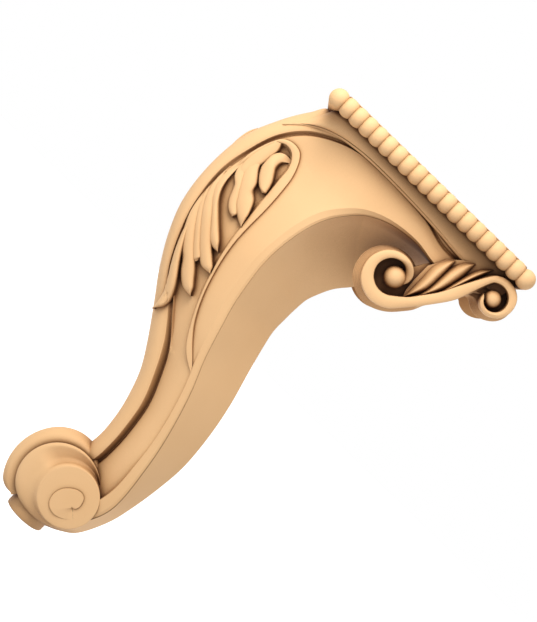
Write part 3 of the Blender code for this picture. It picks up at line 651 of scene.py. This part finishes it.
def build_flare(tree):
    """The cove under the beads, run from the back round the front, with a lip along its lower edge."""
    lip_line = [Vector(LIP_BACK)]
    for px, py, y in LIP_AT_DEPTH_PX:
        lip_line += mirrored([photo_point(px, py, y)])
    for px, py, lift in LIP_ON_SIDE_PX:
        base, out = on_side(tree, px, py, lift)
        lip_line += mirrored([base + out * lift])
    lip_line += [Vector(place) for place in LIP_FRONT]
    tops = smooth_path([(x, y, COVE_TOP_Z) for x, y in COVE_TOP], COVE_STEPS)
    lips = smooth_path(lip_line, COVE_STEPS)
    hollows = [row[0] for row in smooth_path([(value, 0.0) for value in COVE_HOLLOW], COVE_STEPS)]
    rings = []
    for row in range(COVE_ROWS + 1):
        part = row / COVE_ROWS
        turn = 0.5 * math.pi * part
        half = []
        for top, lip, hollow in zip(tops, lips, hollows):
            inward = part + (1 - math.cos(turn) - part) * hollow
            down = part + (math.sin(turn) - part) * hollow
            half.append(Vector((top.x + (lip.x - top.x) * inward, top.y + (lip.y - top.y) * inward,
                                top.z + (lip.z - top.z) * down)))
        rings.append(half)
    for drop, shrink in LIP_SECTION:
        half = []
        for lip, hollow in zip(lips, hollows):
            way = Vector((min(0.0, lip.x - LIP_AIM_X) * LIP_AIM_SHARE, lip.y, 0.0)).normalized()
            down = drop * (LIP_LEAST + (1 - LIP_LEAST) * hollow)
            half.append(lip - way * shrink - Vector((0, 0, down)))
        rings.append(half)
    closed = [half + mirrored(half[:-1])[::-1] for half in rings]
    top_ring = [Vector((p.x * FLARE_TOP_SCALE, p.y * FLARE_TOP_SCALE, FLARE_TOP_Z)) for p in closed[0]]
    add_piece("flare", *rings_to_mesh([top_ring] + closed), 38.0)


def build_cap():
    """The plate, with softened edges."""
    half_x, half_y = ROW_X + SLAB_LIP, ROW_Y + SLAB_LIP
    rings = []
    for inset, z in SLAB_EDGE:
        ring = []
        radius = SLAB_CORNER - inset
        for corner_x, corner_y, first in ((1, 1, 0), (-1, 1, 90), (-1, -1, 180), (1, -1, 270)):
            for step in range(SLAB_CORNER_STEPS + 1):
                turn = math.radians(first + 90 * step / SLAB_CORNER_STEPS)
                ring.append(Vector((corner_x * (half_x - SLAB_CORNER) + radius * math.cos(turn),
                                    corner_y * (half_y - SLAB_CORNER) + radius * math.sin(turn), z)))
        rings.append(ring)
    add_piece("cap_slab", *rings_to_mesh(rings))


def sphere_parts(centre, radius, sides, rows):
    """Points and faces of a ball."""
    bm = bmesh.new()
    bmesh.ops.create_uvsphere(bm, u_segments=sides, v_segments=rows, radius=radius)
    points = [v.co + Vector(centre) for v in bm.verts]
    faces = [tuple(v.index for v in face.verts) for face in bm.faces]
    bm.free()
    return points, faces


def bead_parts(x, y):
    """One bead of the border."""
    return sphere_parts((x, y, BEAD_CENTRE_Z), BEAD_RADIUS, BEAD_SIDES, BEAD_ROWS)


def build_beads():
    """Rows of beads on all four sides, with one at each corner."""
    parts = []
    for side in (-1, 1):
        for bead in range(1, BEADS_LONG - 1):
            parts.append(bead_parts(-ROW_X + bead * BEAD_PITCH, side * ROW_Y))
        for bead in range(1, BEADS_SHORT - 1):
            parts.append(bead_parts(side * ROW_X, -ROW_Y + bead * BEAD_PITCH))
        for end in (-1, 1):
            parts.append(bead_parts(end * ROW_X, side * ROW_Y))
    add_piece("bead_border", *join_meshes(parts), 60.0)


# Ridges, ribbons and lobes

def ribbon_ring(edge_a, edge_b, root, height, bevel):
    """A section of a ribbon between two edges, each a (point, way out), with a slight crown."""
    (a, out_a), (b, out_b) = edge_a, edge_b
    span = b - a
    inset = min(0.45, bevel / max(span.length, 1e-5))
    ring = [a - out_a * root]
    for part, above in ((0.0, -1.0), (0.3 * inset, -0.3), (inset, 0.0), (0.5, 0.25),
                        (1 - inset, 0.0), (1 - 0.3 * inset, -0.3), (1.0, -1.0)):
        out = out_a.lerp(out_b, part).normalized()
        ring.append(a + span * part + out * (height + above * bevel))
    ring.append(b - out_b * root)
    return ring


def build_loop(tree):
    """The raised loop that frames the leaf, on both sides."""
    edges = []
    for line in (LOOP_OUTER_PX, LOOP_INNER_PX):
        edges.append([on_side(tree, p.x, p.y, LOOP_LIFT) for p in smooth_path(line, LINE_STEPS)])
    count = len(edges[0]) - 1
    rings = []
    for i, (edge_a, edge_b) in enumerate(zip(*edges)):
        ends = min(1, i / LOOP_FADE_IN, (count - i) / LOOP_FADE_OUT)
        height = LOOP_LOW + LOOP_RISE * smooth_step(ends)
        rings.append(ribbon_ring(edge_a, edge_b, ROOT_DEPTH, height, LOOP_BEVEL))
    add_pair("leaf_loop", *rings_to_mesh(rings))


def rounded(part, least):
    """Height of a rounded edge: least at 0, and a quarter circle up to 1 at 1 and beyond."""
    return least + (1 - least) * math.sqrt(max(0, 1 - (1 - min(1, part)) ** 2))


def lobe_rings(tree, height, left, right, is_base):
    """Rings of a leaf lobe: rounded on the left, a crest on the right and a wall beyond it."""
    lefts, rights = smooth_path(left, LINE_STEPS), smooth_path(right, LINE_STEPS)
    count = len(lefts) - 1
    rings = []
    for i, (a, b) in enumerate(zip(lefts, rights)):
        along = i / count
        sunk = LOBE_SINK * (1 - smooth_step(along / LOBE_SINK_PART))
        rise = height * smooth_step(along / LOBE_RISE_PART) - sunk
        if is_base:
            rise = height * (1 - SHEET_FALL * smooth_step((along - SHEET_FULL) / (1 - SHEET_FULL)))
        tip = LOBE_TIP_LEAST + (1 - LOBE_TIP_LEAST) * smooth_step((1 - along) / LOBE_TIP_PART)
        flank_px = LOBE_FLANK_PX * min(1, along / FLANK_OPEN_PART)
        flank_px *= smooth_step((1 - along) / FLANK_CLOSE_PART)
        flank = (b - a).normalized() * flank_px
        ring = []
        for column in range(LOBE_COLUMNS + 1):
            part = column / LOBE_COLUMNS
            pixel = a.lerp(b + flank, part)
            crown = min(rounded(part / LOBE_LEFT_PART, LOBE_LEFT_LEAST),
                        rounded((1 - part) / LOBE_RIGHT_PART, LOBE_RIGHT_LEAST))
            crown = crown if rise > 0.0 else 1.0
            lift = rise * crown * tip
            ring.append((*on_side(tree, pixel.x, pixel.y, lift), lift))
        first, last = ring[0], ring[-1]
        points = [first[0] - first[1] * ROOT_DEPTH]
        points += [base + out * lift for base, out, lift in ring]
        points.append(last[0] - last[1] * ROOT_DEPTH)
        rings.append(points)
    return rings


def build_leaf(tree):
    """The lobes of the knee's leaf, on both sides."""
    parts = []
    for name, height, left, right in LOBES_PX:
        parts.append(rings_to_mesh(lobe_rings(tree, height, left, right, name == "sheet")))
    add_pair("knee_leaf", *join_meshes(parts), 50.0)


def build_sliver():
    """The thin raised sliver on the front band."""
    line = [photo_point(p.x, p.y, SLIVER_Y) for p in smooth_path(SLIVER_PX, LINE_STEPS)]
    last = len(line) - 1
    rings = []
    for i, point in enumerate(line):
        along = (line[min(i + 1, last)] - line[max(i - 1, 0)]).normalized()
        out = Vector((along.z, 0, -along.x))
        full = max(SLIVER_LEAST, math.sin(math.pi * i / last) ** SLIVER_TAPER)
        ring = []
        for degrees in range(0, 360, SLIVER_TURN):
            turn = math.radians(degrees)
            across = Vector((0, SLIVER_WIDTH * full * math.sin(turn), 0.0))
            ring.append(point + out * (SLIVER_HEIGHT * full * math.cos(turn)) + across)
        rings.append(ring)
    add_piece("crown_sliver", *rings_to_mesh(rings), 60.0)


# Foot

def lowered_circle(x, z, radius, half_width):
    """A circle round the foot's cross axis on the near side, sunk below the disc's rim on the bell."""
    ring = []
    on_bell = smooth_step((half_width - BELL_START) / BELL_FADE) if half_width < BELL_END else 0.0
    flat = FOOT_FLATTENING * smooth_step((FLAT_END - half_width) / FLAT_FADE)
    for i in range(FOOT_SIDES):
        angle = 360.0 * i / FOOT_SIDES
        gap = abs((angle - RIM_TURN + 180.0) % 360.0 - 180.0)
        sunk = RIM_STEP * on_bell * smooth_step((RIM_SPREAD - gap) / RIM_FADE)
        turn = math.radians(angle)
        drop = radius * math.sin(turn)
        drop *= 1 - flat * max(0, -math.sin(turn)) ** 2
        ring.append(Vector((x + radius * math.cos(turn), -half_width + sunk, z + drop)))
    return ring


def build_drum():
    """The belled drum with its side discs."""
    near = [lowered_circle(*row) for row in smooth_path(FOOT_RINGS, 3)]
    far = [mirrored(ring) for ring in near[1:]]
    add_piece("foot_scroll", *rings_to_mesh(far[::-1] + near), 40.0)


def build_spirals():
    """The spiral step on each disc."""
    line = smooth_path(SPIRAL_PX, LINE_STEPS)
    rings = []
    for inset, height in SPIRAL_SECTION:
        ring = []
        for i, pixel in enumerate(line):
            pixel = pixel.lerp(Vector(SPIRAL_MIDDLE_PX), inset)
            fade = smooth_step((len(line) - 1 - i) / SPIRAL_FADE_OUT) * smooth_step(i / SPIRAL_FADE_IN)
            ring.append(photo_point(pixel.x, pixel.y, DISC_FACE_Y - SPIRAL_RISE * height * fade))
        rings.append(ring)
    add_pair("foot_spiral", *rings_to_mesh(rings), 20.0)


def build_foot_band():
    """The front band, going on over the drum."""
    middle = Vector((BAND_MIDDLE[0], 0, BAND_MIDDLE[1]))
    sections = []
    for angle, radius in smooth_path(FOOT_BAND, 12):
        turn = math.radians(angle)
        way = Vector((math.cos(turn), 0.0, math.sin(turn)))
        section = []
        for step in range(BAND_STEPS + 1):
            across = math.radians(-90 + 180 * step / BAND_STEPS)
            wide = BAND_HALF_WIDTH * math.sin(across)
            crown = abs(math.cos(across)) ** BAND_ROUNDNESS
            reach = BAND_INNER_RADIUS + (radius - BAND_INNER_RADIUS) * crown
            section.append(middle + way * reach + Vector((0, wide, 0)))
        for wide in (BAND_HALF_WIDTH, -BAND_HALF_WIDTH):
            section.append(middle + way * BAND_ROOT_RADIUS + Vector((0, wide, 0)))
        sections.append(section)
    add_piece("foot_band", *rings_to_mesh(sections), 40.0)


def build_pad():
    """The round pad under the drum."""
    rings = []
    for inset, z in PAD_SECTION:
        radius = PAD_RADIUS - inset
        turns = [2 * math.pi * i / PAD_SIDES for i in range(PAD_SIDES)]
        rings.append([Vector((PAD_X + radius * math.cos(turn), radius * math.sin(turn), z))
                      for turn in turns])
    add_piece("foot_pad", *rings_to_mesh(rings), 40.0)


# Wings

def volute_edge(eye, table, step=VOLUTE_STEP):
    """Points (x, z) of a volute's edge, from the table's first angle to its last."""
    first, last = table[0][0], table[-1][0]
    count = max(1, round(abs(last - first) / step))
    edge = []
    for i in range(count + 1):
        angle = first + (last - first) * i / count
        radius = table_at(table, angle)
        turn = math.radians(angle)
        edge.append(Vector((eye[0] + radius * math.cos(turn), eye[1] + radius * math.sin(turn))))
    return edge


def even_points(line, count):
    """A chain of points spaced evenly along a line."""
    lengths = [0.0]
    for a, b in zip(line, line[1:]):
        lengths.append(lengths[-1] + (b - a).length)
    points, at = [], 0
    for i in range(count):
        wanted = lengths[-1] * i / (count - 1)
        while at < len(line) - 2 and lengths[at + 1] < wanted:
            at += 1
        span = max(lengths[at + 1] - lengths[at], 1e-9)
        points.append(line[at].lerp(line[at + 1], min(1, (wanted - lengths[at]) / span)))
    return points


def strap_edges():
    """The strap's two edges, matched, from the big volute's hook to the small one's."""
    on_big, on_run, on_small = STRAP_POINTS
    outer = even_points(volute_edge(BIG_EYE, BIG_OUTER)[::-1], on_big)
    inner = even_points(volute_edge(BIG_EYE, BIG_INNER)[::-1], on_big)
    outer += even_points(smooth_path(RUN_LOWER, LINE_STEPS), on_run)[1:-1]
    inner += even_points(smooth_path(RUN_UPPER, LINE_STEPS), on_run)[1:-1]
    outer += even_points(volute_edge(SMALL_EYE, SMALL_INNER), on_small)
    inner += even_points(volute_edge(SMALL_EYE, SMALL_OUTER), on_small)
    return relaxed(outer), relaxed(inner)


def relaxed(line):
    """The same line with its small kinks eased."""
    for _ in range(3):
        eased = [(a + b * 2 + c) / 4 for a, b, c in zip(line, line[1:], line[2:])]
        line = [line[0]] + eased + [line[-1]]
    return line


def at_depth(line, y):
    """Flat points (x, z) as places at a Y."""
    return [Vector((p[0], y, p[1])) for p in line]


def build_wings():
    """Both wings: stepped wall, strap, ball eyes and leaf ribs."""
    outer, inner = strap_edges()
    way = Vector((0, -1, 0))
    rings = []
    for i, (a, b) in enumerate(zip(at_depth(outer, -WALL_FACE_Y), at_depth(inner, -WALL_FACE_Y))):
        grown = STRAP_LEAST + (1 - STRAP_LEAST) * smooth_step(i / STRAP_FADE)
        height = (WING_FACE_Y - WALL_FACE_Y) * grown
        rings.append(ribbon_ring((a, way), (b, way), STRAP_ROOT, height, STRAP_BEVEL))
    parts = [rings_to_mesh(rings)]
    for eye, radius, sides, rows in BALLS:
        centre = (eye[0], -WING_FACE_Y + radius - BALL_PROUD, eye[1])
        parts.append(sphere_parts(centre, radius, sides, rows))
    for eye, radius, _, _ in BALLS:
        stem_radius = STEM_SHARE * radius
        stem = volute_edge(eye, ((0, stem_radius), (360 - STEM_STEP, stem_radius)), STEM_STEP)
        ends = (-WALL_FACE_Y + STEM_ROOT, -WING_FACE_Y + radius)
        parts.append(rings_to_mesh([at_depth(stem, y) for y in ends]))
    parts.append(wall_parts())
    parts.append(rings_to_mesh([at_depth(BED_EDGE, y) for y in (-BED_Y, -WALL_FACE_Y)]))
    add_pair("wing", *join_meshes(parts), 40.0)

    ribs = [rings_to_mesh(rib_rings(upper, lower)) for upper, lower in RIBS_PX]
    add_pair("wing_ribs", *join_meshes(ribs), 50.0)


def wall_parts():
    """The wall under the strap: layers that widen by small steps away from the face."""
    lower = volute_edge(BIG_EYE, BIG_OUTER[:7])[::-1] + [Vector(p) for p in RUN_LOWER[:-1]]
    lower += volute_edge(SMALL_EYE, SMALL_OUTER[:7])[::-1]
    lower = relaxed(even_points(lower, WALL_POINTS))
    upper = [Vector(p) for p in WING_TOP_EDGE]
    rings = []
    thick = (WALL_FACE_Y - WING_INNER_Y) / WALL_LAYERS
    for layer in range(WALL_LAYERS):
        grow = WALL_FLARE * (layer + LAYER_GROWTH) / WALL_LAYERS
        grown = []
        for before, point, after in zip([lower[0]] + lower, lower, lower[1:] + [lower[-1]]):
            run = (after - before).normalized()
            out = Vector((run.y, -run.x))
            seen = max(0, out.dot(WALL_WIDEST))
            past = min((point - Vector(BIG_EYE)).length - BIG_WALL_REACH,
                       (point - Vector(SMALL_EYE)).length - SMALL_WALL_REACH)
            round_eye = 1 - smooth_step(past / WALL_REACH_FADE)
            share = WALL_RUN_SHARE + round_eye * (WALL_EYE_SHARE + WALL_EYE_SHARE * seen)
            grown.append(point + out * grow * share)
        grown = relaxed(grown)
        for part in (layer, layer + LAYER_STRAIGHT):
            rings.append(at_depth(grown + upper, -WALL_FACE_Y + thick * part))
    return rings_to_mesh(rings)


def rib_rings(upper, lower):
    """Rings of a wing's leaf rib: a rounded crest near its lower edge, pointed at both ends."""
    uppers, lowers = smooth_path(upper, 8), smooth_path(lower, 8)
    count = len(uppers) - 1
    root = Vector((0, RIB_ROOT, 0))
    rings = []
    for i, (a, b) in enumerate(zip(uppers, lowers)):
        full = max(0, math.sin(math.pi * i / count)) ** RIB_ROUND_ALONG
        ring = []
        for column in range(RIB_COLUMNS + 1):
            part = column / RIB_COLUMNS
            pixel = a.lerp(b, RIB_WIDTH * part + RIB_START)
            crown = max(0, math.sin(math.pi * part ** RIB_LEAN)) ** RIB_ROUND_ACROSS
            lift = RIB_LEAST + RIB_RISE * full * crown
            ring.append(photo_point(pixel.x, pixel.y, -WING_FLOOR_Y - lift))
        rings.append([ring[0] + root] + ring + [ring[-1] + root])
    return rings


# Material, light and camera

def set_inputs(node, values):
    """Sets a shader node's inputs by name, and gives the node back."""
    for name, value in values.items():
        node.inputs[name].default_value = value
    return node


def new_material(name):
    """A material with its node tree and its shader."""
    material = bpy.data.materials.new(name)
    material.use_nodes = True
    return material, material.node_tree, material.node_tree.nodes["Principled BSDF"]


def carved_material():
    """Pale tan, matt, with fine speckle, soft tone changes, and painted shade that darkens the hollows
    and places near other parts.
    """
    material, tree, shader = new_material("carved_tan_painted_shade")
    nodes, links = tree.nodes, tree.links
    set_inputs(shader, {"Roughness": 0.62, "Specular IOR Level": 0.25})

    place = nodes.new("ShaderNodeTexCoord")
    drift = set_inputs(nodes.new("ShaderNodeTexNoise"), {"Scale": 14.0, "Detail": 3.0})
    links.new(place.outputs["Object"], drift.inputs["Vector"])
    tone = nodes.new("ShaderNodeValToRGB")
    for element, (position, tint) in zip(tone.color_ramp.elements, TAN_TONES):
        element.position = position
        element.color = (*tint, 1.0)
    links.new(drift.outputs["Fac"], tone.inputs["Fac"])

    colour = tone.outputs["Color"]
    # Painted shade: each ambient occlusion pass darkens the tan where hollows and nearby parts hide
    # the surroundings
    for reach, stops in PAINTED_SHADE_TONES:
        hollow = nodes.new("ShaderNodeAmbientOcclusion")
        hollow.samples = 8
        hollow.inputs["Distance"].default_value = reach
        depth = nodes.new("ShaderNodeValToRGB")
        while len(depth.color_ramp.elements) < len(stops):
            depth.color_ramp.elements.new(0.5)
        for element, (position, tint) in zip(depth.color_ramp.elements, stops):
            element.position = position
            element.color = (*tint, 1.0)
        links.new(hollow.outputs["AO"], depth.inputs["Fac"])
        darken = set_inputs(nodes.new("ShaderNodeMix"), {"Factor": 1.0})
        darken.data_type = "RGBA"
        darken.blend_type = "MULTIPLY"
        links.new(colour, darken.inputs["A"])
        links.new(depth.outputs["Color"], darken.inputs["B"])
        colour = darken.outputs["Result"]
    links.new(colour, shader.inputs["Base Color"])

    grain = set_inputs(nodes.new("ShaderNodeTexNoise"), {"Scale": 900.0, "Detail": 2.0})
    links.new(place.outputs["Object"], grain.inputs["Vector"])
    bump = set_inputs(nodes.new("ShaderNodeBump"), {"Strength": 0.06, "Distance": 0.0002})
    links.new(grain.outputs["Fac"], bump.inputs["Height"])
    links.new(bump.outputs["Normal"], shader.inputs["Normal"])
    return material


def build_floor():
    """A plain pale floor under the corbel."""
    material, _, shader = new_material("pale_floor")
    set_inputs(shader, {"Base Color": (0.96, 0.96, 0.96, 1.0), "Roughness": 0.9,
                        "Emission Color": (1.0, 1.0, 1.0, 1.0), "Emission Strength": 0.75})
    mesh = bpy.data.meshes.new("floor")
    corners = ((-1, -1), (1, -1), (1, 1), (-1, 1))
    points = [(x * FLOOR_HALF, y * FLOOR_HALF, FLOOR_Z) for x, y in corners]
    mesh.from_pydata(points, [], [(0, 1, 2, 3)])
    mesh.materials.append(material)
    floor = new_object("floor", mesh)
    floor.visible_diffuse = False


def build_light():
    """White surroundings, dimmer on the side of one soft light, above and toward the camera."""
    toward = LIGHT_WAY.normalized()
    world = bpy.data.worlds.new("white")
    world.use_nodes = True
    nodes, links = world.node_tree.nodes, world.node_tree.links
    white = (1.0, 1.0, 1.0, 1.0)
    seen = set_inputs(nodes["Background"], {"Color": white, "Strength": 1.0})
    ambient = set_inputs(nodes.new("ShaderNodeBackground"), {"Color": white})
    place = nodes.new("ShaderNodeTexCoord")
    facing = nodes.new("ShaderNodeVectorMath")
    facing.operation = "DOT_PRODUCT"
    facing.inputs[1].default_value = toward
    links.new(place.outputs["Generated"], facing.inputs[0])
    spread = set_inputs(nodes.new("ShaderNodeMapRange"),
                        {"From Min": -1.0, "To Min": AMBIENT_BEHIND, "To Max": AMBIENT_TOWARD})
    links.new(facing.outputs["Value"], spread.inputs["Value"])
    links.new(spread.outputs["Result"], ambient.inputs["Strength"])
    path = nodes.new("ShaderNodeLightPath")
    blend = nodes.new("ShaderNodeMixShader")
    links.new(path.outputs["Is Camera Ray"], blend.inputs["Fac"])
    links.new(ambient.outputs["Background"], blend.inputs[1])
    links.new(seen.outputs["Background"], blend.inputs[2])
    links.new(blend.outputs["Shader"], nodes["World Output"].inputs["Surface"])
    bpy.context.scene.world = world
    data = bpy.data.lights.new("key", "AREA")
    data.size = KEY_SIZE
    data.energy = KEY_WATTS
    light = new_object("key", data)
    light.location = LIGHT_AIM + toward * KEY_DISTANCE
    light.rotation_euler = (LIGHT_AIM - light.location).to_track_quat("-Z", "Y").to_euler()


def build_camera():
    """The photograph's view: level, square to the corbel's side, rolled so the cap slants."""
    data = bpy.data.cameras.new("camera")
    data.sensor_width = SENSOR * 1000
    data.lens = FOCAL_PX / PHOTO_HEIGHT * SENSOR * 1000
    data.shift_x = (PHOTO_WIDTH / 2 - AXIS_PX[0]) / PHOTO_HEIGHT
    data.shift_y = (AXIS_PX[1] - PHOTO_HEIGHT / 2) / PHOTO_HEIGHT
    data.clip_start = 0.05
    camera = new_object("camera", data)
    turn = Matrix((CAMERA_RIGHT, CAMERA_UP, Vector((0, -1, 0)))).transposed()
    camera.matrix_world = Matrix.Translation(CAMERA_PLACE) @ turn.to_4x4()
    bpy.context.scene.camera = camera


TAN = carved_material()
side_tree = reference_tree()
build_body(side_tree)
build_flare(side_tree)
build_cap()
build_beads()
build_loop(side_tree)
build_leaf(side_tree)
build_sliver()
build_drum()
build_spirals()
build_foot_band()
build_pad()
build_wings()
build_floor()
build_light()
build_camera()
bpy.context.scene.view_settings.view_transform = "Standard"
